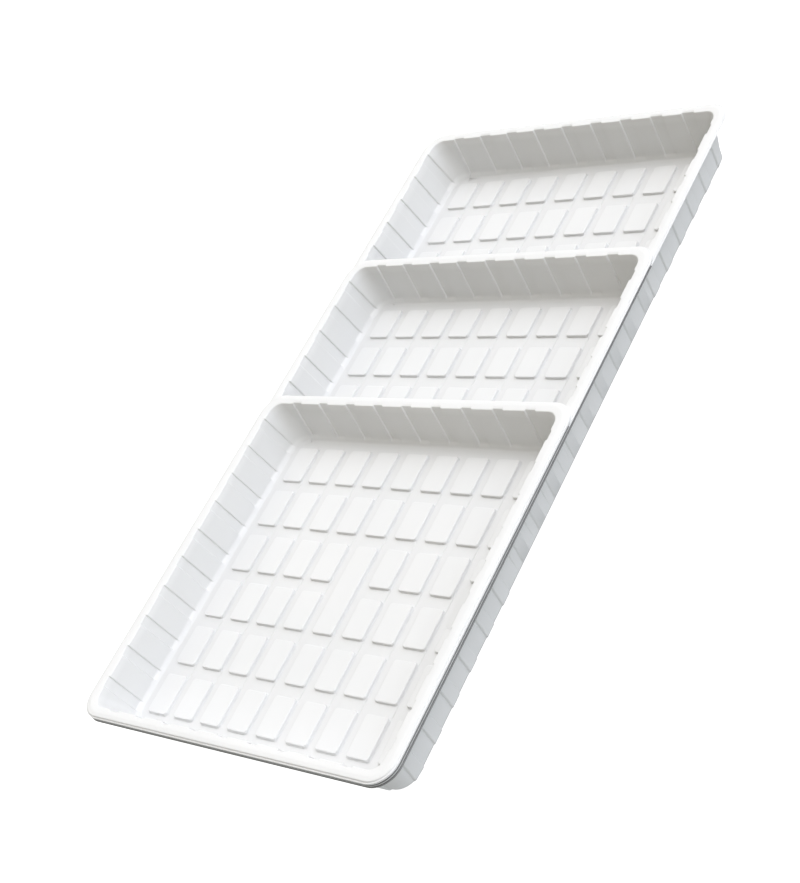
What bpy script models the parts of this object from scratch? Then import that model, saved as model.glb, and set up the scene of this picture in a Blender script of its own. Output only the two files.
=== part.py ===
"""Nested set of three thermoformed flood trays: long, medium and short, stacked front edge to front edge.

Axes: +X to the right, +Y to the back, +Z up.  Every length below is in millimetres; the meshes are
written in metres.  Inside one tray, heights are counted from the top of its floor pads.
"""
import math

import bmesh
import bpy
from mathutils import Vector
from mathutils.geometry import tessellate_polygon

MM = 0.001

# Sheet
SHEET = 2.2                 # wall thickness of the formed sheet
SHEET_SIDE = 2.25           # the same sheet measured level through a leaning wall
SHEET_PAD = 2.22            # the same sheet measured level through a pad side

# Overall size of the rim flat, shared by the three trays
RIM_HALF_X = 616.7
RIM_RADIUS = 72.0
SKIRT_DROP = 6.0            # rim edge turns down, then out into a narrow lip
SKIRT_LEAN = 1.0
LIP_WIDTH = 4.0
CORNER_STEPS = 6
CORNER_LAND = 1.0           # plain wall between a corner and a flute that starts inside it
FLAT_AREA = 1e-6            # triangles thinner than this (square mm) are left out of a filled region

# Walls
BASE_Z = 3.0                # top of the sloped band that joins wall and floor
SIDE_LEAN = 0.1465          # run per rise of the long walls
END_LEAN = 0.185            # run per rise of the end walls
BAND_SIDE = 9.5             # level width of the sloped band, long walls
BAND_END = 9.0
RADIUS_BASE = 58.0          # inside corner radius at the wall base
RADIUS_TOP = 40.0           # inside corner radius at the rim

# Floor
FLOOR_Z = -9.8              # channels between the pads and round them
PAD_LEAN = 0.15             # run per rise of a pad side
COLUMNS = 9
COLUMN_PITCH = 117.0
MIDDLE_SHIFT = 3.5          # the columns either side of the middle one stand this much further out
PAD_WIDTH = 81.4
PAD_MARGIN = 106.4          # rim edge to the first and last pad
WELL_PLACE = 603.5          # front rim edge to the middle of the drain well
WELL_FLAT = 78.0            # half length of the floor that is kept clear of pads for the well
WELL_HALF = 73.0            # half length of the well itself
WELL_X = (423.0, 540.0)
WELL_Z = -18.5

# Pilasters (upright flutes pressed outward in the walls)
FLUTE_DEPTH = 5.0
FLUTE_DEPTH_INNER = 4.0     # flute that only clears a flute of the tray above
FLUTE_DEPTH_MIDDLE = 6.5
FLUTE_SLOPE = 0.4           # run per depth of a flute side
FLUTE_SHIFT = 1.49          # shift of a flute side between the two faces of the sheet
END_FLUTE_PITCH = 118.0
FRONT_FLUTES = (114.0, 223.5, 333.0, 442.5, 552.0, 655.0)
SHORT_FLUTES = (764.5, 874.0, 983.5, 1093.0)
MEDIUM_MIDDLE = (794.0, 904.0, 1014.0)
MEDIUM_BACK = (1153.0, 1256.0, 1365.5, 1475.0, 1584.5, 1694.0)
LONG_BACK = (1764.0, 1867.0, 1976.5, 2086.0, 2195.5, 2305.0)

# One entry per tray, bottom of the nest first
LONG_LENGTH = 2419.0
TRAYS = {
    "long_tray": {
        "length": LONG_LENGTH, "pad_top": 12.0, "depth": 144.0, "side_base": 558.8, "end_base": 56.7,
        "well": False,
        "rows": 14, "row_pitch": 165.0, "pad_length": 120.0, "side_half": 20.6, "end_half": 22.6,
        "flutes": [(y, FLUTE_DEPTH) for y in FRONT_FLUTES + MEDIUM_BACK + LONG_BACK]
        + [(y, FLUTE_DEPTH_INNER) for y in SHORT_FLUTES] + [(y, FLUTE_DEPTH_MIDDLE) for y in MEDIUM_MIDDLE],
    },
    "medium_tray": {
        "length": 1808.0, "pad_top": 24.3, "depth": 141.0, "side_base": 558.0, "end_base": 57.0,
        "well": False,
        "rows": 10, "row_pitch": 164.1, "pad_length": 118.3, "side_half": 18.8, "end_half": 20.8,
        "flutes": [(y, FLUTE_DEPTH) for y in FRONT_FLUTES + MEDIUM_BACK]
        + [(y, FLUTE_DEPTH_INNER) for y in SHORT_FLUTES] + [(y, FLUTE_DEPTH_MIDDLE) for y in MEDIUM_MIDDLE],
    },
    "short_tray": {
        "length": 1207.0, "pad_top": 36.6, "depth": 138.0, "side_base": 557.2, "end_base": 57.3,
        "well": True,
        "rows": 6, "row_pitch": 172.5, "pad_length": 131.7, "side_half": 17.0, "end_half": 19.0,
        "flutes": [(y, FLUTE_DEPTH) for y in FRONT_FLUTES]
        + [(y, FLUTE_DEPTH_INNER) for y in SHORT_FLUTES],
    },
}
FRONT_Y = -LONG_LENGTH / 2.0


def clear_scene():
    for obj in list(bpy.data.objects):
        bpy.data.objects.remove(obj, do_unlink=True)
    for block in (bpy.data.meshes, bpy.data.materials):
        for item in list(block):
            block.remove(item)


def white_plastic(name):
    material = bpy.data.materials.new(name)
    material.use_nodes = True
    shader = material.node_tree.nodes["Principled BSDF"]
    shader.inputs["Base Color"].default_value = (0.86, 0.87, 0.87, 1.0)
    shader.inputs["Roughness"].default_value = 0.42
    return material


def flute_profile(flutes, half, outer):
    """Breakpoints (position, depth) of a wall with flutes, in order along the wall."""
    shift = FLUTE_SHIFT if outer else 0.0
    points = []
    ordered = sorted(flutes)
    for index, (centre, depth) in enumerate(ordered):
        start, end = centre - half, centre + half
        before = ordered[index - 1] if index else None
        after = ordered[index + 1] if index + 1 < len(ordered) else None
        run = FLUTE_SLOPE * depth
        if before and before[0] + half > start:
            step = FLUTE_SLOPE * (depth - before[1])
            points += [(start - shift, before[1]), (start + step - shift, depth)]
        else:
            points += [(start - shift, 0.0), (start + run - shift, depth)]
        if not (after and after[0] - half < end):
            points += [(end - run + shift, depth), (end + shift, 0.0)]
    return points


def wall_loop(tray, z, outer):
    """Closed loop of (x, y) round the tray at height z, following the flutes."""
    rise = max(z - BASE_Z, 0.0)
    fall = max(BASE_Z - z, 0.0)
    band = BASE_Z - FLOOR_Z
    half_x = tray["side_base"] + SIDE_LEAN * rise - BAND_SIDE * fall / band
    inset = tray["end_base"] - END_LEAN * rise + BAND_END * fall / band
    share = min(rise / (tray["depth"] - BASE_Z), 1.0)
    radius = RADIUS_BASE + (RADIUS_TOP - RADIUS_BASE) * share
    if outer:
        extra = SHEET_SIDE if fall == 0.0 else SHEET * 0.837
        half_x += extra
        inset -= extra
        radius += extra
    front, back = FRONT_Y + inset, FRONT_Y + tray["length"] - inset
    side = [(FRONT_Y + y, d) for y, d in flute_profile(tray["flutes"], tray["side_half"], outer)]
    ends = [(k * END_FLUTE_PITCH, FLUTE_DEPTH) for k in range(-4, 5)]
    end = flute_profile(ends, tray["end_half"], outer)
    corner_x, front_y, back_y = half_x - radius, front + radius, back - radius
    # Where a flute starts inside the corner, the corner stops just short of it.
    cut_front = cut_angle(front_y - side[0][0] + CORNER_LAND, radius)
    cut_back = cut_angle(side[-1][0] + CORNER_LAND - back_y, radius)

    def reach(y, depth):
        if depth > 0.0:
            return half_x + depth
        into = max(front_y - y, y - back_y, 0.0)
        return corner_x + math.sqrt(radius * radius - into * into)

    loop = corner(-corner_x, front_y, radius, 180.0 + cut_front, 270.0)
    loop += [(x, front - d) for x, d in end]
    loop += corner(corner_x, front_y, radius, 270.0, 360.0 - cut_front)
    loop += [(reach(y, d), y) for y, d in side]
    loop += corner(corner_x, back_y, radius, cut_back, 90.0)
    loop += [(x, back + d) for x, d in reversed(end)]
    loop += corner(-corner_x, back_y, radius, 90.0, 180.0 - cut_back)
    loop += [(-reach(y, d), y) for y, d in reversed(side)]
    return loop


def cut_angle(into, radius):
    return math.degrees(math.asin(into / radius)) if into > 0.0 else 0.0


def corner(cx, cy, radius, start, stop):
    turn = (stop - start) / CORNER_STEPS
    steps = [math.radians(start + turn * i) for i in range(CORNER_STEPS + 1)]
    return [(cx + radius * math.cos(a), cy + radius * math.sin(a)) for a in steps]


def rim_loop(tray, grow):
    """Plain rounded rectangle, grown outward from the edge of the rim flat."""
    half_x, radius = RIM_HALF_X + grow, RIM_RADIUS + grow
    front, back = FRONT_Y - grow, FRONT_Y + tray["length"] + grow
    loop = corner(-half_x + radius, front + radius, radius, 180.0, 270.0)
    loop += corner(half_x - radius, front + radius, radius, 270.0, 360.0)
    loop += corner(half_x - radius, back - radius, radius, 0.0, 90.0)
    loop += corner(-half_x + radius, back - radius, radius, 90.0, 180.0)
    return loop


def column_edges():
    edges = []
    for index in range(COLUMNS):
        step = index - COLUMNS // 2
        centre = step * COLUMN_PITCH + MIDDLE_SHIFT * ((step > 0) - (step < 0))
        edges.append((centre - PAD_WIDTH / 2.0, centre + PAD_WIDTH / 2.0))
    return edges


def row_edges(tray):
    """Front and back edge of every pad row; the long tray's inner rows close up a little."""
    rows, pitch, length = tray["rows"], tray["row_pitch"], tray["pad_length"]
    first = FRONT_Y + PAD_MARGIN
    last = FRONT_Y + tray["length"] - PAD_MARGIN - length
    near = [first + i * pitch for i in range(rows // 2 - 1)]
    far = [last - i * pitch for i in range(rows // 2 - 1)]
    gap = (far[-1] - near[-1]) / 3.0
    starts = near + [near[-1] + gap, far[-1] - gap] + far[::-1]
    return [(y, y + length) for y in starts]


class Sheet:
    """Collects polygons of one face of the formed sheet and writes them with shared corners."""

    def __init__(self):
        self.faces = []

    def face(self, points):
        self.faces.append([tuple(round(c, 4) for c in p) for p in points])

    def band(self, lower, upper):
        count = len(lower)
        for i in range(count):
            j = (i + 1) % count
            self.face([lower[i], lower[j], upper[j], upper[i]])

    def filled(self, loops):
        points = [p for loop in loops for p in loop]
        for tri in tessellate_polygon([[Vector(p) for p in loop] for loop in loops]):
            a, b, c = (points[i] for i in tri)
            if abs((b[0] - a[0]) * (c[1] - a[1]) - (c[0] - a[0]) * (b[1] - a[1])) > FLAT_AREA:
                self.face([a, b, c])

    def joined(self):
        """Faces with every corner that lies on one of their edges inserted into that edge."""
        rows = {}
        for point in {p for face in self.faces for p in face}:
            rows.setdefault(("x", point[1], point[2]), []).append(point)
            rows.setdefault(("y", point[0], point[2]), []).append(point)
        result = []
        for face in self.faces:
            outline = []
            for a, b in zip(face, face[1:] + face[:1]):
                outline.append(a)
                if a[2] == b[2] and a[1] == b[1]:
                    axis, group = 0, rows[("x", a[1], a[2])]
                elif a[2] == b[2] and a[0] == b[0]:
                    axis, group = 1, rows[("y", a[0], a[2])]
                else:
                    continue
                low, high = sorted((a[axis], b[axis]))
                between = [p for p in group if low < p[axis] < high]
                outline += sorted(between, key=lambda p: p[axis], reverse=b[axis] < a[axis])
            result.append(outline)
        return result


def at(loop, z):
    return [(x, y, z) for x, y in loop]


def edge_line(edge, sign, z, outer):
    """Level position of a raised feature's side at height z; sign points away from the feature."""
    return edge + sign * (PAD_LEAN * -z - (SHEET_PAD if outer else 0.0))


def rectangle(x0, x1, y0, y1, z):
    return [(x0, y0, z), (x1, y0, z), (x1, y1, z), (x0, y1, z)]


def add_floor(sheet, tray, outer, edge_loop):
    """Pads, channels and drain well of one face of the sheet."""
    drop = SHEET if outer else 0.0
    z_pad, z_floor, z_well = -drop, FLOOR_Z - drop, WELL_Z - drop
    columns, rows = column_edges(), row_edges(tray)
    middle = FRONT_Y + WELL_PLACE
    clear = (middle - WELL_FLAT, middle + WELL_FLAT)

    def line(edge, sign, z):
        return edge_line(edge, sign, z, outer)

    def box(x0, x1, y0, y1, z):
        return rectangle(line(x0, -1, z), line(x1, 1, z), line(y0, -1, z), line(y1, 1, z), z)

    near = [(y0, min(y1, clear[0])) for y0, y1 in rows if y0 < clear[0]]
    far = [(max(y0, clear[1]), y1) for y0, y1 in rows if y1 > clear[1]]
    for index, (x0, x1) in enumerate(columns):
        for strip in ((near, far) if index == COLUMNS - 1 else (rows,)):
            for y0, y1 in strip:
                top, foot = box(x0, x1, y0, y1, z_pad), box(x0, x1, y0, y1, z_floor)
                sheet.face(top)
                sheet.band(foot, top)
            for (_, y0), (y1, _) in zip(strip, strip[1:]):
                sheet.face(rectangle(line(x0, -1, z_floor), line(x1, 1, z_floor),
                                     line(y0, 1, z_floor), line(y1, -1, z_floor), z_floor))
    front, back = line(rows[0][0], -1, z_floor), line(rows[-1][1], 1, z_floor)
    for (_, x0), (x1, _) in zip(columns[:-2], columns[1:-1]):
        sheet.face(rectangle(line(x0, 1, z_floor), line(x1, -1, z_floor), front, back, z_floor))

    # The last channel and the clear flat belong to the floor that runs round the pads.
    left, right = line(columns[0][0], -1, z_floor), line(columns[-1][1], 1, z_floor)
    inner, last = line(columns[-2][1], 1, z_floor), line(columns[-1][0], -1, z_floor)
    low, high = line(clear[0], 1, z_floor), line(clear[1], -1, z_floor)
    sheet.face(rectangle(inner, last, front, low, z_floor))
    sheet.face(rectangle(inner, last, high, back, z_floor))
    pads = [(left, front), (right, front), (right, low), (inner, low),
            (inner, high), (right, high), (right, back), (left, back)]
    holes = [at(pads, z_floor)]
    if tray["well"]:
        grow = SHEET_PAD if outer else 0.0
        y0, y1 = middle - WELL_HALF - grow, middle + WELL_HALF + grow
        mouth = rectangle(WELL_X[0] - grow, WELL_X[1] + grow, y0, y1, z_floor)
        bottom = [(x + inward(x, WELL_X), y + inward(y, (y0, y1)), z_well) for x, y, _ in mouth]
        sheet.band(mouth, bottom)
        sheet.face(bottom)
        holes.append(mouth)
    sheet.filled([edge_loop] + holes)


def inward(value, limits):
    """Shift of a well corner from its mouth to its bottom."""
    run = PAD_LEAN * (FLOOR_Z - WELL_Z)
    return run if value < sum(limits) / 2.0 else -run


def tray_faces(tray):
    top, under = Sheet(), Sheet()
    depth = tray["depth"]
    inner = [at(wall_loop(tray, z, False), z) for z in (FLOOR_Z, BASE_Z, depth)]
    # Under the floor the sloped band starts a little lower, so the sheet keeps its thickness.
    outer = [at(wall_loop(tray, FLOOR_Z, True), FLOOR_Z - SHEET),
             at(wall_loop(tray, BASE_Z, True), BASE_Z - 0.8),
             at(wall_loop(tray, depth - SHEET, True), depth - SHEET)]
    skirt = [at(rim_loop(tray, 0.0), depth), at(rim_loop(tray, SKIRT_LEAN), depth - SKIRT_DROP),
             at(rim_loop(tray, SKIRT_LEAN + LIP_WIDTH), depth - SKIRT_DROP)]
    inside = [at(rim_loop(tray, -SHEET), depth - SHEET),
              at(rim_loop(tray, SKIRT_LEAN - SHEET), depth - SKIRT_DROP - SHEET),
              at(rim_loop(tray, SKIRT_LEAN + LIP_WIDTH), depth - SKIRT_DROP - SHEET)]
    add_floor(top, tray, False, inner[0])
    add_floor(under, tray, True, outer[0])
    for sheet, walls, rim in ((top, inner, skirt), (under, outer, inside)):
        sheet.band(walls[0], walls[1])
        sheet.band(walls[1], walls[2])
        sheet.filled([rim[0], walls[2]])
        sheet.band(rim[0], rim[1])
        sheet.band(rim[1], rim[2])
    top.band(skirt[2], inside[2])
    return top.joined() + under.joined()


def build_tray(name, tray):
    mesh = bpy.data.meshes.new(name)
    bm = bmesh.new()
    corners = {}
    for face in tray_faces(tray):
        verts = []
        for point in face:
            if point not in corners:
                x, y, z = point
                corners[point] = bm.verts.new((x * MM, y * MM, (z + tray["pad_top"]) * MM))
            if not verts or verts[-1] is not corners[point]:
                verts.append(corners[point])
        if verts[0] is verts[-1]:
            verts.pop()
        if len(verts) >= 3:
            bm.faces.new(verts)
    bmesh.ops.triangulate(bm, faces=[f for f in bm.faces if len(f.verts) > 4])
    bmesh.ops.recalc_face_normals(bm, faces=bm.faces)
    bm.to_mesh(mesh)
    bm.free()
    obj = bpy.data.objects.new(name, mesh)
    mesh.materials.append(white_plastic(name + "_white"))
    bpy.context.scene.collection.objects.link(obj)
    return obj


clear_scene()
for tray_name, tray_data in TRAYS.items():
    build_tray(tray_name, tray_data)
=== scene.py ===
"""Looks of the nested flood trays: each tray is one smooth formed sheet built over its CAD node."""
import math

import bmesh
import bpy
from mathutils import Matrix, Vector
from mathutils.geometry import delaunay_2d_cdt


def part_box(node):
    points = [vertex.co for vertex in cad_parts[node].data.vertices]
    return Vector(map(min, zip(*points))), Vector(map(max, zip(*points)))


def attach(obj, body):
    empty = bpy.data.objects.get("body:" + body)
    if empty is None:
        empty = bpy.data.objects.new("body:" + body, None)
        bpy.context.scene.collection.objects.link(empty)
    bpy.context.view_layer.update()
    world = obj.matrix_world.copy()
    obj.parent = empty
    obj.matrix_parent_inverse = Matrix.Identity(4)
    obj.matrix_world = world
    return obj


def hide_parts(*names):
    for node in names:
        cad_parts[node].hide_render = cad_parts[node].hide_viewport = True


MM = 0.001
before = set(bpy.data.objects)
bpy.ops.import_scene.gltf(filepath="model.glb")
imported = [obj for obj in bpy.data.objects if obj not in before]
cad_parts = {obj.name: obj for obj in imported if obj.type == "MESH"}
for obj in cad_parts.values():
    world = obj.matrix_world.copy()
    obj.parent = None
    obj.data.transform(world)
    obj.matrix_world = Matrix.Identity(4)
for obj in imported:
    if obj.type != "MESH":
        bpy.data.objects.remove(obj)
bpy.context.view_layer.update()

# Every length below is in millimetres.  Heights inside a tray are counted from its pad tops.
SHEET = 2.2                     # wall thickness
LIP = 5.0                       # how far skirt and lip reach beyond the rim's edge

# Upright section of the wall and rim
FLOOR = -9.8                    # channels between the pads and round them
FLOOR_RUN = 8.0                 # width of flat floor that belongs to the wall's section
BASE = 3.0                      # top of the sloped band between floor and wall
BAND_SIDE, BAND_END = 9.5, 9.0  # width of that band along the sides and along the ends
SIDE_LEAN, END_LEAN = 0.1465, 0.185     # how far the walls lean out per height
RADIUS_FOOT, RADIUS_TOP, RADIUS_RIM = 58.0, 40.0, 72.0  # corners at the floor, the opening and the rim
SHOULDER_GROW = 2.0             # the shoulder's corner radius, beyond the opening's
RIM_SHARES = (0.13, 0.4, 0.6)   # across the rim: its shoulder, the place past the flutes, and its middle
CROWN = 1.6                     # the rim's middle stands this much over its edges
SHOULDER_RISE = 0.2             # share of the crown by which the shoulder stands over the edge
PAST_FALL = 0.3                 # share of the crown by which the place past the flutes lies lower
SKIRT_DROP, SKIRT_LEAN = 6.0, 1.0       # the skirt's height, and how far it leans out
WALL_TRIMS = (5.0, 6.0, 3.6, 0.6, 2.0, 3.0, 3.0, 1.4, 1.6)  # rounding of the section, foot to lip
HOLD = 0.7                      # gap between a round and the edge that keeps the flat beside it flat
LONG_FLAT = 5.0 * HOLD          # only longer flats get such edges
CORNER_STEPS = 14               # faces round each corner of the tray
CORNER_LAND = 1.0               # least distance between the corner's end and the first flute bend

# Floor
COLUMNS, COLUMN_PITCH = 9, 117.0
MIDDLE_SHIFT = 3.5              # every column but the middle one is shifted outward
PAD_WIDTH, PAD_RADIUS = 81.4, 9.0
PAD_MARGIN = 106.4              # from the rim's edge to the first and last pads
STRIP_LEVEL, STRIP_EDGE = -8.6, 3.0     # low step under the pads of one column, and its edge round them
DOUBLE_PAD = 1.5                # a pad longer than this many pad lengths is the creased one
CREASE_X, CREASE_DROP = -9.5, 1.4       # fold across the long middle pad of the short tray
WELL_PLACE, WELL_FLAT = 603.5, 78.0     # middle and half length of the flat that is kept clear of pads
WELL_HALF, WELL_X, WELL_Z = 71.0, (423.0, 536.0), -18.5     # the well: half length, sides and bottom
WELL_RADIUS = 16.0              # its corners
STEEP = 0.8                     # a face of the well that spans more height than this is its side
TINY = 1e-6                     # slack where two places are compared

# Sections of raised and sunk shapes, from the inside out: (growth of the outline, height)
PAD_SECTION = [(-5.0, 0.0), (0.0, 0.0), (1.2, STRIP_LEVEL), (2.3, STRIP_LEVEL)]
PAD_TRIMS = (2.2, 1.0)
STRIP_SECTION = [(STRIP_EDGE - 0.5, STRIP_LEVEL), (STRIP_EDGE, STRIP_LEVEL),
                 (STRIP_EDGE + 0.3, FLOOR), (STRIP_EDGE + 0.8, FLOOR)]
STRIP_TRIMS, STRIP_STEPS = (0.3, 0.3), 2
WELL_SECTION = [(-8.0, WELL_Z), (-1.3, WELL_Z), (0.0, FLOOR), (1.6, FLOOR)]
WELL_TRIMS = (2.5, 1.2)
LEAST_BEND = 0.4                # smallest corner radius of an outline

# Mesh
WELD = 0.05                     # corners closer than this become one
FILL_TYPE = 2                   # output type asked of delaunay_2d_cdt, which leaves no holes open

# Flutes pressed outward in the walls, by their distance from the front rim edge
FLUTE_DEPTH, FLUTE_END = 5.0, -6.0      # a tray's own flutes, and the height where they end
END_FLUTES = [k * 118.0 for k in range(-4, 5)]          # by their distance from the middle
FLUTE_RUN = 0.85                # run of a flute's side per depth
FLUTE_SAMPLES = 8               # steps along that run
FLUTE_FADE = 9.0                # height over which a flute fades out at its end
FLUTE_STEP = 0.25               # places closer than this along a wall become one
FRONT_FLUTES = [114.0 + 109.5 * k for k in range(5)] + [655.0]
SHORT_FLUTES = [764.5 + 109.5 * k for k in range(4)]
MEDIUM_MIDDLE = [794.0 + 110.0 * k for k in range(3)]
MEDIUM_BACK = [1153.0] + [1256.0 + 109.5 * k for k in range(5)]
LONG_BACK = [1764.0] + [1867.0 + 109.5 * k for k in range(5)]

# Looks.  Tones are shares of the rim's colour: painted shade makes the sheet darker in the channels and low
# in the tray, where pads and walls shade it.
PALE, PALEST = (0.760, 0.766, 0.766, 1.0), (0.792, 0.795, 0.792, 1.0)
TONE_SPREAD = (0.3, 0.7)        # values of the broad noise where the two tones are reached
# Painted shade: colour shares of the channels, the pads and the rim.
CHANNEL_SHADE_TONE, PAD_SHADE_TONE, RIM_TONE = 0.90, 0.948, 1.0
PAINTED_SHADE_TONE = 0.32              # painted shade: colour share in the slot under the lip of a tray above, and on the well's sides
SHADE_TONE_STOPS = [(2.0, CHANNEL_SHADE_TONE), (8.5, PAD_SHADE_TONE), (120.0, PAD_SHADE_TONE), (136.0, RIM_TONE)]   # painted shade, by height
TALLEST = 150.0                 # span of heights over which the sheet's tone is set
SEED_STEP = 1.7                 # shift of the noise from one tray to the next
SHADE_REACH, SHADE_DEPTH = 0.2, 1.5   # faces of the painted shade lie this far beyond the rim, or this far below the skirt
COVE = ((300.0, 0.0), (400.0, 80.0))    # studio floor in metres: half width and height of flat and rise
SUN_WIDTH = 0.9                 # angle across each studio light, in radians
SUNS = (                        # azimuth and elevation in degrees, strength and colour
    ("key_high", 45.0, 70.0, 1.0, (1.0, 0.97, 0.98)),
    ("fill_back_right", 45.0, 45.0, 1.05, (0.79, 0.84, 1.0)),
    ("fill_back_left", 315.0, 45.0, 0.85, (0.95, 0.975, 0.98)),
    ("fill_right", 90.0, 45.0, 0.60, (0.942, 0.968, 1.0)),
    ("fill_low_right", 90.0, 20.0, 0.42, (0.80, 0.90, 1.0)),
)
BELOW, ABOVE = (0.575, 0.595, 0.612, 1.0), (0.395, 0.372, 0.320, 1.0)   # colours of the two halves of the sky
HORIZON = 0.001                 # height of direction at which the sky changes
CAMERA_PLACE = (3.358, -2.288, 3.103)   # in metres
CAMERA_RIGHT, CAMERA_AHEAD = (0.7375, 0.4357, -0.5160), (-0.6743, 0.4335, -0.5978)


def own(places):
    """Flutes that run down into the sloped band: (place, depth, height where they end)."""
    return [(y, FLUTE_DEPTH, FLUTE_END) for y in places]


def passed(places, depth, end):
    """Pockets that only make room for the flutes of a tray above, and so end higher up."""
    return [(y, depth, end) for y in places]


# "depth" is from pad tops to rim, "side_base" and "end_base" place the wall's foot, "lip_turn" is the
# turned-down edge of the lip, and "under" names the tray that this one lies under.
TRAYS = {
    "long_tray": {
        "depth": 144.0, "lip_turn": 0.0, "under": "medium_tray", "side_base": 558.8, "end_base": 56.7,
        "rows": 14, "pitch": 165.0, "pad_length": 120.0, "side_half": 20.6, "end_half": 22.6,
        "flutes": own(FRONT_FLUTES + LONG_BACK) + passed(MEDIUM_BACK, 5.0, 4.3)
        + passed(SHORT_FLUTES, 4.0, 14.6) + passed(MEDIUM_MIDDLE, 6.5, 4.3),
    },
    "medium_tray": {
        "depth": 141.0, "lip_turn": 3.5, "under": "short_tray", "side_base": 558.0, "end_base": 57.0,
        "rows": 10, "pitch": 164.1, "pad_length": 118.3, "side_half": 18.8, "end_half": 20.8,
        "flutes": own(FRONT_FLUTES + MEDIUM_BACK)
        + passed(SHORT_FLUTES, 4.0, 4.3) + passed(MEDIUM_MIDDLE, 6.5, -6.0),
    },
    "short_tray": {
        "depth": 138.0, "lip_turn": 5.5, "under": None, "side_base": 557.2, "end_base": 57.3,
        "rows": 6, "pitch": 172.5, "pad_length": 131.7, "side_half": 17.0, "end_half": 19.0,
        "flutes": own(FRONT_FLUTES) + passed(SHORT_FLUTES, 4.0, -6.0),
    },
}


def ease(t):
    """Smooth step from 0 to 1."""
    t = min(max(t, 0.0), 1.0)
    return t * t * (3.0 - 2.0 * t)


def lerp(a, b, t):
    """The tuple that lies a share t of the way from a to b."""
    return tuple(p + (q - p) * t for p, q in zip(a, b))


def rounded(points, trims, steps=4):
    """A polyline of same-sized tuples with its inner corners rounded off by their trim lengths.

    Long flats get a point close to each end, which keeps them flat under smooth shading.
    """
    path = [points[0]]
    for before, here, after, trim in zip(points, points[1:], points[2:], trims):
        start = lerp(here, before, trim / math.dist(here[:2], before[:2]))
        end = lerp(here, after, trim / math.dist(here[:2], after[:2]))
        for i in range(steps + 1):
            t = i / steps
            path.append(lerp(lerp(start, here, t), lerp(here, end, t), t))
    path.append(points[-1])
    held = [path[0]]
    for here, after in zip(path, path[1:]):
        length = math.dist(here[:2], after[:2])
        if length > LONG_FLAT:
            held += [lerp(here, after, HOLD / length), lerp(after, here, HOLD / length)]
        held.append(after)
    return held


class Skin:
    """Polygons with shared corners, with the folds that stay sharp and the numbers of the faces that get
    painted shade.
    """

    def __init__(self):
        self.index = {}
        self.points = []
        self.faces = []
        self.folds = []
        self.painted_shade = []

    def corner(self, point):
        """The number of a corner; equal corners share one."""
        key = tuple(round(c, 3) for c in point)
        if key not in self.index:
            self.index[key] = len(self.points)
            self.points.append(point)
        return self.index[key]

    def face(self, points):
        """Adds one polygon, unless its corners fall together."""
        ids = [self.corner(p) for p in points]
        ids = [a for a, b in zip(ids, ids[1:] + ids[:1]) if a != b]
        if len(ids) > 2:
            self.faces.append(ids)

    def band(self, first, second):
        """Adds the closed band between two rings of equal count."""
        for i in range(len(first)):
            j = (i + 1) % len(first)
            self.face([first[i], first[j], second[j], second[i]])

    def filled(self, loops):
        """Covers the first loop with triangles that follow the edges of the other loops.

        Known fault: the other loops are covered too.  Faces lie hidden under every pad, and one lies
        over the drain well and hides it.
        """
        points, edges = [], []
        for loop in loops:
            first, last = len(points), len(points) + len(loop) - 1
            edges += [(i, i + 1) for i in range(first, last)] + [(last, first)]
            points += loop
        flat = [Vector(p[:2]) for p in points]
        triangles, sources = delaunay_2d_cdt(flat, edges, [], FILL_TYPE, WELD / 10.0)[2:4]
        for triangle in triangles:
            self.face([points[sources[i][0]] for i in triangle])


def flute_weight(s, centre, half, depth):
    """How far a flute is pressed out at place s, from 0 to 1."""
    run = FLUTE_RUN * depth
    return ease((half + run / 2.0 - abs(s - centre)) / run)


def flute_places(flutes, half):
    """Places along a wall where its flutes bend."""
    places = set()
    for centre, depth, _ in flutes:
        for sign in (-1, 1):
            for i in range(-1, FLUTE_SAMPLES + 2):
                run = FLUTE_RUN * depth * (i / FLUTE_SAMPLES - 0.5)
                places.add(round(centre + sign * (half + run), 3))
    kept = []
    for place in sorted(places):
        if not kept or place - kept[-1] > FLUTE_STEP:
            kept.append(place)
    return kept


def press(s, z, flutes, half):
    """How far the wall is pressed out at place s and height z."""
    return max((depth * flute_weight(s, y, half, depth) * ease((z - end) / FLUTE_FADE)
                for y, depth, end in flutes if abs(s - y) < half + depth), default=0.0)


def wall_section(tray):
    """Upright section from floor edge to lip: (half width, height, end inset, corner radius, fluted)."""
    side, end, depth = tray["side_base"], tray["end_base"], tray["depth"]
    edge = depth - CROWN
    rise = edge - BASE
    inner = (side + SIDE_LEAN * rise, edge, end - END_LEAN * rise, RADIUS_TOP, 1.0)
    outer = (tray["half_x"], edge, 0.0, RADIUS_RIM, 0.0)
    shoulder, past, middle = (lerp(inner, outer, share) for share in RIM_SHARES)
    points = [
        (side - BAND_SIDE - FLOOR_RUN, FLOOR, end + BAND_END + FLOOR_RUN, RADIUS_FOOT - FLOOR_RUN, 1.0),
        (side - BAND_SIDE, FLOOR, end + BAND_END, RADIUS_FOOT, 1.0),
        (side, BASE, end, RADIUS_FOOT, 1.0),
        inner,
        (shoulder[0], edge + SHOULDER_RISE * CROWN, shoulder[2], RADIUS_TOP + SHOULDER_GROW, 1.0),
        (past[0], depth - PAST_FALL * CROWN, past[2], past[3], 0.0),
        (middle[0], depth, middle[2], middle[3], 0.0),
        outer,
        (tray["half_x"] + SKIRT_LEAN, depth - SKIRT_DROP, -SKIRT_LEAN, RADIUS_RIM + SKIRT_LEAN, 0.0),
        (tray["half_x"] + LIP, depth - SKIRT_DROP, -LIP, RADIUS_RIM + LIP, 0.0),
    ]
    if tray["lip_turn"]:
        points.append((points[-1][0], points[-1][1] - tray["lip_turn"]) + points[-1][2:])
    section = rounded(points, WALL_TRIMS)
    return [p[:4] + (1.0 if p[4] > 0.5 else 0.0,) for p in section]


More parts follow.
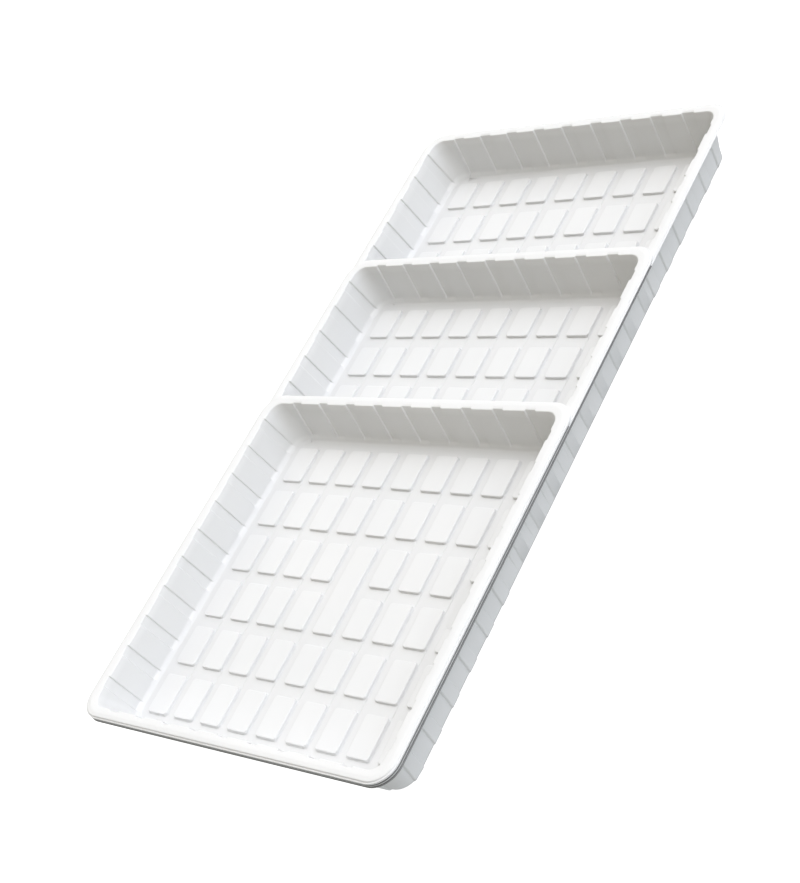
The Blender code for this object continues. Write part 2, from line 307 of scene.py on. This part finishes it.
def wall_ring(tray, section):
    """One closed ring of the wall or rim."""
    half_x, z, inset, radius, fluted = section
    front, back = tray["front"] + inset, tray["front"] + tray["length"] - inset
    corner_x, front_y, back_y = half_x - radius, front + radius, back - radius
    side, ends = tray["side_places"], tray["end_places"]
    cut_front = cut_angle(front_y - tray["front"] - side[0] + CORNER_LAND, radius)
    cut_back = cut_angle(tray["front"] + side[-1] + CORNER_LAND - back_y, radius)

    def side_point(sign, place):
        """Point of the left or right wall."""
        y = tray["front"] + place
        out = fluted * press(place, z, tray["flutes"], tray["side_half"])
        into = max(front_y - y, y - back_y, 0.0)
        reach = corner_x + math.sqrt(radius * radius - into * into)
        return (sign * (reach + out), y, z)

    def end_point(sign, x):
        """Point of the front or back wall."""
        out = fluted * press(x, z, tray["end_flutes"], tray["end_half"])
        return (x, (back if sign > 0 else front) + sign * out, z)

    def corner(sign_x, sign_y, start, stop):
        """Arc of one corner, between two angles in degrees."""
        y = back_y if sign_y > 0 else front_y
        turn = math.radians(stop - start) / CORNER_STEPS
        angles = [math.radians(start) + turn * i for i in range(CORNER_STEPS + 1)]
        return [(sign_x * corner_x + radius * math.cos(a), y + radius * math.sin(a), z) for a in angles]

    ring = corner(-1, -1, 180.0 + cut_front, 270.0)
    ring += [end_point(-1, x) for x in ends]
    ring += corner(1, -1, 270.0, 360.0 - cut_front)
    ring += [side_point(1, y) for y in side]
    ring += corner(1, 1, cut_back, 90.0)
    ring += [end_point(1, x) for x in reversed(ends)]
    ring += corner(-1, 1, 90.0, 180.0 - cut_back)
    ring += [side_point(-1, y) for y in reversed(side)]
    return ring


def cut_angle(into, radius):
    """Angle that a corner's arc loses where the fluted wall reaches into it."""
    return math.degrees(math.asin(into / radius)) if into > 0.0 else 0.0


def outline(corners, radius, grow, z, steps=5):
    """Rectilinear loop, counter-clockwise, grown outward with its corners rounded."""
    ring, count = [], len(corners)
    for i, (x, y) in enumerate(corners):
        (ax, ay), (bx, by) = corners[i - 1], corners[(i + 1) % count]
        din = (math.copysign(1, x - ax) if x != ax else 0, math.copysign(1, y - ay) if y != ay else 0)
        out = (math.copysign(1, bx - x) if bx != x else 0, math.copysign(1, by - y) if by != y else 0)
        turn = din[0] * out[1] - din[1] * out[0]
        bend = max(radius + turn * grow, LEAST_BEND)
        if turn == 0:
            ring.append((x + grow * din[1], y - grow * din[0], z))
            continue
        px = x + grow * (din[1] + out[1])
        py = y - grow * (din[0] + out[0])
        cx, cy = px + bend * (out[0] - din[0]), py + bend * (out[1] - din[1])
        start = math.atan2(-turn * din[0], turn * din[1])
        for k in range(steps + 1):
            a = start + turn * math.pi / 2.0 * k / steps
            ring.append((cx + bend * math.cos(a), cy + bend * math.sin(a), z))
    return ring


def box_corners(x0, x1, y0, y1):
    """Corners of a rectangle, counter-clockwise."""
    return [(x0, y0), (x1, y0), (x1, y1), (x0, y1)]


def raised(skin, corners, radius, section, trims, steps=3, shape=None):
    """Rings of a raised or sunk shape; returns its outer foot ring and its inner top ring."""
    rings = [outline(corners, radius, grow, z) for grow, z in rounded(section, trims, steps)]
    if shape:
        rings = [[shape(point) for point in ring] for ring in rings]
    for upper, lower in zip(rings, rings[1:]):
        skin.band(upper, lower)
    return rings[-1], rings[0]


def column_edges():
    """Left and right edges of the pads of each column."""
    edges = []
    for index in range(COLUMNS):
        step = index - COLUMNS // 2
        centre = step * COLUMN_PITCH + MIDDLE_SHIFT * ((step > 0) - (step < 0))
        edges.append((centre - PAD_WIDTH / 2.0, centre + PAD_WIDTH / 2.0))
    return edges


def row_edges(tray):
    """Front and back edges of each row of pads; the two middle rows fill what the even ones leave."""
    rows, pitch, length = tray["rows"], tray["pitch"], tray["pad_length"]
    first = tray["front"] + PAD_MARGIN
    last = tray["front"] + tray["length"] - PAD_MARGIN - length
    near = [first + i * pitch for i in range(rows // 2 - 1)]
    far = [last - i * pitch for i in range(rows // 2 - 1)]
    gap = (far[-1] - near[-1]) / 3.0
    starts = near + [near[-1] + gap, far[-1] - gap] + far[::-1]
    return [(y, y + length) for y in starts]


def pad_spans(tray, column):
    """Front and back edges of the pads of one column, in one or two unbroken strips."""
    rows = row_edges(tray)
    if column == COLUMNS - 1:
        low, high = (tray["front"] + WELL_PLACE + side * WELL_FLAT for side in (-1, 1))
        near = [(y0, min(y1, low)) for y0, y1 in rows if y0 < low]
        return [near, [(max(y0, high), y1) for y0, y1 in rows if y1 > high]]
    if tray["name"] == "short_tray" and column == COLUMNS // 2:
        half = len(rows) // 2
        return [rows[:half - 1] + [(rows[half - 1][0], rows[half][1])] + rows[half + 1:]]
    return [rows]


def add_floor(skin, tray, edge_ring):
    """Pads and well, and the flat channels between and round them."""
    loops = [edge_ring]
    for column, (x0, x1) in enumerate(column_edges()):
        for spans in pad_spans(tray, column):
            loops.append(add_strip(skin, x0, x1, spans, tray["pad_length"]))
    if tray["name"] == "short_tray":
        loops.append(add_well(skin, tray["front"] + WELL_PLACE))
    skin.filled(loops)


def add_well(skin, middle):
    """The sunk drain well, whose steep sides get painted shade, below the floor's cover; returns its mouth
    ring.
    """
    first = len(skin.faces)
    corners = box_corners(*WELL_X, middle - WELL_HALF, middle + WELL_HALF)
    mouth, bottom = raised(skin, corners, WELL_RADIUS, WELL_SECTION, WELL_TRIMS)
    # Painted shade: the well's steep sides are darkened as if in shadow.
    for i, face in enumerate(skin.faces[first:], first):
        levels = [skin.points[k][2] for k in face]
        if max(levels) - min(levels) > STEEP:
            skin.painted_shade.append(i)
    skin.face(bottom)
    return mouth


def add_strip(skin, x0, x1, spans, pad_length):
    """The low step that one column's pads stand on, with its pads; returns its foot ring."""
    cuts = [(a[1] + b[0]) / 2.0 for a, b in zip(spans, spans[1:])]
    near, far = spans[0][0], spans[-1][1]
    corners = [(x0, near), (x1, near)] + [(x1, y) for y in cuts]
    corners += [(x1, far), (x0, far)] + [(x0, y) for y in reversed(cuts)]
    foot, top = raised(skin, corners, PAD_RADIUS, STRIP_SECTION, STRIP_TRIMS, STRIP_STEPS)
    limits = [near - STRIP_EDGE] + cuts + [far + STRIP_EDGE]
    for (y0, y1), low, high in zip(spans, limits, limits[1:]):
        cell = [p for p in top if low - TINY <= p[1] <= high + TINY]
        add = add_creased_pad if y1 - y0 > DOUBLE_PAD * pad_length else add_pad
        skin.filled([cell, add(skin, x0, x1, y0, y1)])
    return foot


def add_pad(skin, x0, x1, y0, y1):
    """One raised pad; returns its foot ring."""
    foot, top = raised(skin, box_corners(x0, x1, y0, y1), PAD_RADIUS, PAD_SECTION, PAD_TRIMS)
    skin.face(top)
    return foot


def add_creased_pad(skin, x0, x1, y0, y1):
    """The double-length pad, whose two left corners sink beyond a fold; returns its foot ring."""
    middle = (y0 + y1) / 2.0
    corners = [(x0, y0), (CREASE_X, y0), (x1, y0), (x1, y1), (CREASE_X, y1), (x0, y1), (x0, middle)]

    def sink(point):
        """Lowers the pad's top beyond the fold, and its side in step."""
        x, y, z = point
        beyond = abs(y - middle) / (middle - y0) - (x - x0) / (CREASE_X - x0)
        share = 1.0 - z / STRIP_LEVEL
        return (x, y, z - CREASE_DROP * max(beyond, 0.0) * max(share, 0.0))

    foot, top = raised(skin, corners, PAD_RADIUS, PAD_SECTION, PAD_TRIMS, shape=sink)
    front_fold = next(i for i, p in enumerate(top) if abs(p[0] - CREASE_X) < TINY)
    back_fold = next(i for i, p in enumerate(top) if abs(p[0] - CREASE_X) < TINY and p[1] > middle)
    skin.face(top[front_fold:back_fold + 1] + top[-1:])
    skin.face(top[back_fold:])
    skin.face(top[-1:] + top[:front_fold + 1])
    skin.folds += [(top[-1], top[front_fold]), (top[-1], top[back_fold])]
    return foot


def tidy_mesh(mesh, folds):
    """Welds hair-thin faces, turns every face to the inside of the tray and keeps its folds sharp."""
    bm = bmesh.new()
    bm.from_mesh(mesh)
    bmesh.ops.remove_doubles(bm, verts=bm.verts, dist=WELD * MM)
    bmesh.ops.dissolve_degenerate(bm, edges=bm.edges, dist=WELD * MM)
    bmesh.ops.recalc_face_normals(bm, faces=bm.faces)
    if max(bm.faces, key=lambda f: f.calc_area()).normal.z < 0.0:
        bmesh.ops.reverse_faces(bm, faces=bm.faces)
    for edge in bm.edges:
        ends = [vert.co.xy for vert in edge.verts]
        for fold in folds:
            if all(min((Vector(p) - end).length for end in ends) < WELD * MM for p in fold):
                edge.smooth = False
    bm.to_mesh(mesh)
    bm.free()


def build_skin(name, tray, order):
    """One tray's smooth sheet, measured from its CAD node and riding on it."""
    tray["name"] = name
    low, high = (Vector(c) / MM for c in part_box(name))
    tray["front"] = low.y + LIP
    tray["length"] = high.y - low.y - 2.0 * LIP
    tray["half_x"] = high.x - LIP
    tray["end_flutes"] = own(END_FLUTES)
    tray["side_places"] = flute_places(tray["flutes"], tray["side_half"])
    tray["end_places"] = flute_places(tray["end_flutes"], tray["end_half"])
    skin = Skin()
    sections = wall_section(tray)
    rings = [wall_ring(tray, section) for section in sections]
    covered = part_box(tray["under"])[1][1] / MM - RADIUS_RIM if tray["under"] else -math.inf
    for lower, upper, section in zip(rings, rings[1:], sections):
        first = len(skin.faces)
        skin.band(lower, upper)
        half_x, z = section[:2]
        # Painted shade: skirt and lip faces under the tray above get the dark material, standing in for the
        # shadow in the slot between nested rims.
        if half_x > tray["half_x"] + SHADE_REACH and z > tray["depth"] - SKIRT_DROP - SHADE_DEPTH:
            skin.painted_shade += [i for i in range(first, len(skin.faces))
                           if all(skin.points[k][1] < covered for k in skin.faces[i])]
    add_floor(skin, tray, rings[0])
    mesh = bpy.data.meshes.new(name + "_skin")
    lift = high.z - tray["depth"]
    mesh.from_pydata([(x * MM, y * MM, (z + lift) * MM) for x, y, z in skin.points], [], skin.faces)
    mesh.shade_smooth()
    # The faces listed for painted shade take the second, darkened material.
    for i in skin.painted_shade:
        mesh.polygons[i].material_index = 1
    tidy_mesh(mesh, [[(x * MM, y * MM) for x, y, _ in fold] for fold in skin.folds])
    mesh.materials.append(white_sheet(name + "_white", SEED_STEP * order, lift * MM, 1.0))
    # Second material: the same sheet made much darker, painted shade.
    mesh.materials.append(white_sheet(name + "_dusty", SEED_STEP * order, lift * MM, PAINTED_SHADE_TONE))
    obj = bpy.data.objects.new(name + "_skin", mesh)
    bpy.context.scene.collection.objects.link(obj)
    wall = obj.modifiers.new("sheet", "SOLIDIFY")
    wall.thickness = SHEET * MM
    wall.offset = -1.0
    wall.use_even_offset = False
    wall.use_quality_normals = True
    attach(obj, name)
    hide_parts(name)


def link(tree, start, end):
    """Joins an output of one shader node to an input of another."""
    tree.links.new(start, end)


def white_sheet(name, seed, pad_top, tone_share):
    """Satin white formed plastic with fine grain and uneven gloss, with painted shade: darker on the pads and
    most in the channels, and the whole colour scaled by tone_share.
    """
    material = bpy.data.materials.new(name)
    material.use_nodes = True
    tree = material.node_tree
    nodes = tree.nodes
    shader = nodes["Principled BSDF"]
    place = nodes.new("ShaderNodeTexCoord")
    broad = nodes.new("ShaderNodeTexNoise")
    broad.inputs["Scale"].default_value = 3.1
    broad.inputs["Detail"].default_value = 4.0
    fine = nodes.new("ShaderNodeTexNoise")
    fine.inputs["Scale"].default_value = 420.0
    fine.inputs["Detail"].default_value = 3.0
    shift = nodes.new("ShaderNodeMapping")
    shift.inputs["Location"].default_value = (seed, 2.0 * seed, 0.0)
    link(tree, place.outputs["Object"], shift.inputs["Vector"])
    for noise in (broad, fine):
        link(tree, shift.outputs["Vector"], noise.inputs["Vector"])
    tone = nodes.new("ShaderNodeValToRGB")
    for element, position, colour in zip(tone.color_ramp.elements, TONE_SPREAD, (PALE, PALEST)):
        element.position = position
        element.color = colour
    link(tree, broad.outputs["Fac"], tone.inputs["Fac"])
    # Painted shade by height: darker towards the floor of the tray, most in the channels.
    split = nodes.new("ShaderNodeSeparateXYZ")
    link(tree, place.outputs["Object"], split.inputs["Vector"])
    height = nodes.new("ShaderNodeMapRange")
    height.inputs["From Min"].default_value = pad_top + FLOOR * MM
    height.inputs["From Max"].default_value = pad_top + (TALLEST + FLOOR) * MM
    link(tree, split.outputs["Z"], height.inputs["Value"])
    shade_by_height = nodes.new("ShaderNodeValToRGB")
    steps = shade_by_height.color_ramp.elements
    while len(steps) < len(SHADE_TONE_STOPS):
        steps.new(1.0)
    for step, (level, share) in zip(steps, SHADE_TONE_STOPS):
        step.position = level / TALLEST
        step.color = (share * tone_share,) * 3 + (1.0,)
    link(tree, height.outputs["Result"], shade_by_height.inputs["Fac"])
    shaded_colour = nodes.new("ShaderNodeVectorMath")
    shaded_colour.operation = "MULTIPLY"
    link(tree, tone.outputs["Color"], shaded_colour.inputs[0])
    link(tree, shade_by_height.outputs["Color"], shaded_colour.inputs[1])
    link(tree, shaded_colour.outputs["Vector"], shader.inputs["Base Color"])
    gloss = nodes.new("ShaderNodeMapRange")
    gloss.inputs["To Min"].default_value = 0.36
    gloss.inputs["To Max"].default_value = 0.50
    link(tree, broad.outputs["Fac"], gloss.inputs["Value"])
    link(tree, gloss.outputs["Result"], shader.inputs["Roughness"])
    grain = nodes.new("ShaderNodeBump")
    grain.inputs["Strength"].default_value = 0.08
    grain.inputs["Distance"].default_value = 0.0004
    link(tree, fine.outputs["Fac"], grain.inputs["Height"])
    link(tree, grain.outputs["Normal"], shader.inputs["Normal"])
    return material


def add_floor_stage():
    """White studio floor that rises far away; it neither lights the trays nor takes their shadow."""
    material = bpy.data.materials.new("studio_floor")
    material.use_nodes = True
    shader = material.node_tree.nodes["Principled BSDF"]
    shader.inputs["Base Color"].default_value = (0.35, 0.35, 0.35, 1.0)
    shader.inputs["Roughness"].default_value = 0.8
    shader.inputs["Emission Color"].default_value = (1.0, 1.0, 1.0, 1.0)
    shader.inputs["Emission Strength"].default_value = 1.0
    mesh = bpy.data.meshes.new("studio_floor")
    points = [(x * reach, y * reach, z) for reach, z in COVE
              for x, y in ((-1, -1), (1, -1), (1, 1), (-1, 1))]
    slopes = [(i, (i + 1) % 4, 4 + (i + 1) % 4, 4 + i) for i in range(4)]
    mesh.from_pydata(points, [], [(0, 1, 2, 3)] + slopes)
    mesh.materials.append(material)
    floor = bpy.data.objects.new("studio_floor", mesh)
    bpy.context.scene.collection.objects.link(floor)
    floor.visible_diffuse = False
    floor.visible_glossy = False
    floor.visible_shadow = False


def add_soft_sun(name, azimuth, elevation, strength, colour):
    """A very wide sun, like a large softbox; azimuth 0 shines from +Y and 90 from +X."""
    light = bpy.data.lights.new(name, "SUN")
    light.energy = strength
    light.angle = SUN_WIDTH
    light.color = colour
    turn, rise = math.radians(azimuth), math.radians(elevation)
    source = Vector((math.sin(turn) * math.cos(rise), math.cos(turn) * math.cos(rise), math.sin(rise)))
    obj = bpy.data.objects.new(name, light)
    obj.rotation_mode = "QUATERNION"
    obj.rotation_quaternion = (-source).to_track_quat("-Z", "Y")
    bpy.context.scene.collection.objects.link(obj)


def add_sky():
    """A dim sky whose lower half stands for the light that a pale studio floor sends back up."""
    world = bpy.data.worlds.new("studio")
    world.use_nodes = True
    tree = world.node_tree
    place = tree.nodes.new("ShaderNodeTexCoord")
    split = tree.nodes.new("ShaderNodeSeparateXYZ")
    link(tree, place.outputs["Generated"], split.inputs["Vector"])
    halves = tree.nodes.new("ShaderNodeValToRGB")
    halves.color_ramp.interpolation = "CONSTANT"
    halves.color_ramp.elements[0].position = 0.0
    halves.color_ramp.elements[0].color = BELOW
    halves.color_ramp.elements[1].position = HORIZON
    halves.color_ramp.elements[1].color = ABOVE
    link(tree, split.outputs["Z"], halves.inputs["Fac"])
    link(tree, halves.outputs["Color"], tree.nodes["Background"].inputs["Color"])
    bpy.context.scene.world = world


def add_camera():
    """The camera, placed and turned as the photograph was taken."""
    camera = bpy.data.cameras.new("camera")
    camera.sensor_width = 36.0
    camera.lens = 67.56
    camera.clip_end = 1000.0
    right = Vector(CAMERA_RIGHT).normalized()
    ahead = Vector(CAMERA_AHEAD).normalized()
    up = right.cross(ahead).normalized()
    right = ahead.cross(up).normalized()
    obj = bpy.data.objects.new("camera", camera)
    pose = Matrix((right, up, -ahead)).transposed().to_4x4()
    pose.translation = CAMERA_PLACE
    obj.matrix_world = pose
    bpy.context.scene.collection.objects.link(obj)
    bpy.context.scene.camera = obj


for order, (tray_name, tray_data) in enumerate(TRAYS.items()):
    build_skin(tray_name, tray_data, order)
add_floor_stage()
add_sky()
for sun in SUNS:
    add_soft_sun(*sun)
add_camera()
bpy.context.scene.view_settings.view_transform = "Standard"
